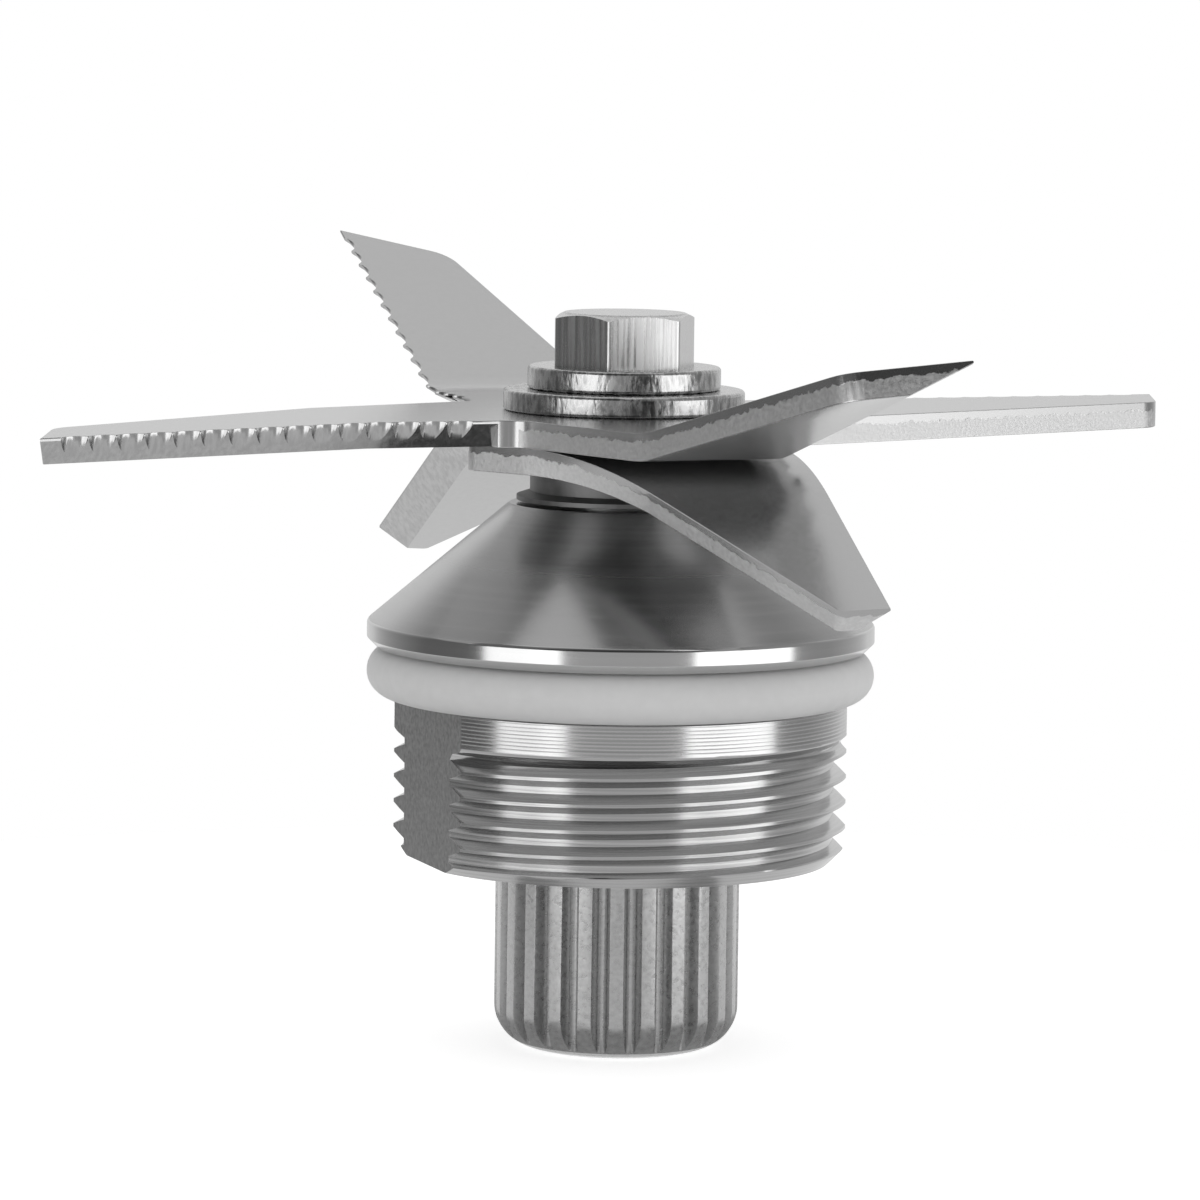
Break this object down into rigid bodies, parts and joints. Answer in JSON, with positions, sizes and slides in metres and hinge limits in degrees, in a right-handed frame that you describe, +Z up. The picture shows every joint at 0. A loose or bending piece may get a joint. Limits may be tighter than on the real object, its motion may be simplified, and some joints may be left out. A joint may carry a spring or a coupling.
{
  "type": "blender blade assembly",
  "caption": "Serrated cross blades on a shaft in a sealed bearing housing with a cone, rim, O-ring, threaded body and splined drive stub.",
  "frame": {"origin": "centre of the drive stub's flat end face, on the shaft's axis", "axes": "+Z up along the shaft's axis, from the drive stub to the blade bolt; the flat arms lie along X"},
  "size_m": [0.087, 0.0837, 0.0624],
  "materials": {
    "housing_steel": "polished stainless steel",
    "o_ring_silicone": "matte translucent white silicone",
    "sintered_steel": "matte sintered steel",
    "shaft_steel": "turned steel",
    "bearing_steel": "ground steel",
    "pressed_steel": "pressed steel sheet",
    "seal_rubber": "black nitrile rubber",
    "washer_steel": "tumbled stainless steel",
    "blade_steel": "satin stainless steel sheet",
    "bolt_steel": "machined stainless steel"
  },
  "bodies": {
    "housing": {"bearing_housing": "housing_steel", "sealing_ring": "o_ring_silicone", "lower_bearing_outer_race": "bearing_steel", "lower_bearing_bottom_shield": "pressed_steel", "lower_bearing_top_shield": "pressed_steel", "upper_bearing_outer_race": "bearing_steel", "upper_bearing_bottom_shield": "pressed_steel", "upper_bearing_top_shield": "pressed_steel", "outer_spacer": "shaft_steel", "retaining_ring": "pressed_steel", "shaft_seal_case": "pressed_steel", "shaft_seal_lip": "seal_rubber", "garter_spring": "pressed_steel"},
    "rotor": {"drive_shaft": "shaft_steel", "drive_coupling": "sintered_steel", "lower_bearing_inner_race": "bearing_steel", "upper_bearing_inner_race": "bearing_steel", "inner_spacer": "shaft_steel", "slinger_ring": "washer_steel", "blade_spacer": "washer_steel", "lower_blade": "blade_steel", "upper_blade": "blade_steel", "lower_washer": "washer_steel", "upper_washer": "washer_steel", "blade_bolt": "bolt_steel"},
    "lower_ball_set": {"lower_bearing_balls": "bearing_steel", "lower_bearing_cage": "pressed_steel"},
    "upper_ball_set": {"upper_bearing_balls": "bearing_steel", "upper_bearing_cage": "pressed_steel"}
  },
  "joints": [
    {"name": "rotor_spin", "type": "hinge", "parent": "housing", "child": "rotor", "pos_m": [0, 0, 0], "axis": [0, 0, 1], "continuous": true},
    {"name": "lower_ball_orbit", "type": "hinge", "parent": "housing", "child": "lower_ball_set", "pos_m": [0, 0, 0.02005], "axis": [0, 0, 1], "continuous": true},
    {"name": "upper_ball_orbit", "type": "hinge", "parent": "housing", "child": "upper_ball_set", "pos_m": [0, 0, 0.02885], "axis": [0, 0, 1], "continuous": true}
  ],
  "couplings": [
    {"joint": "lower_ball_orbit", "follows": "rotor_spin", "ratio": 0.3677},
    {"joint": "upper_ball_orbit", "follows": "rotor_spin", "ratio": 0.3677}
  ]
}
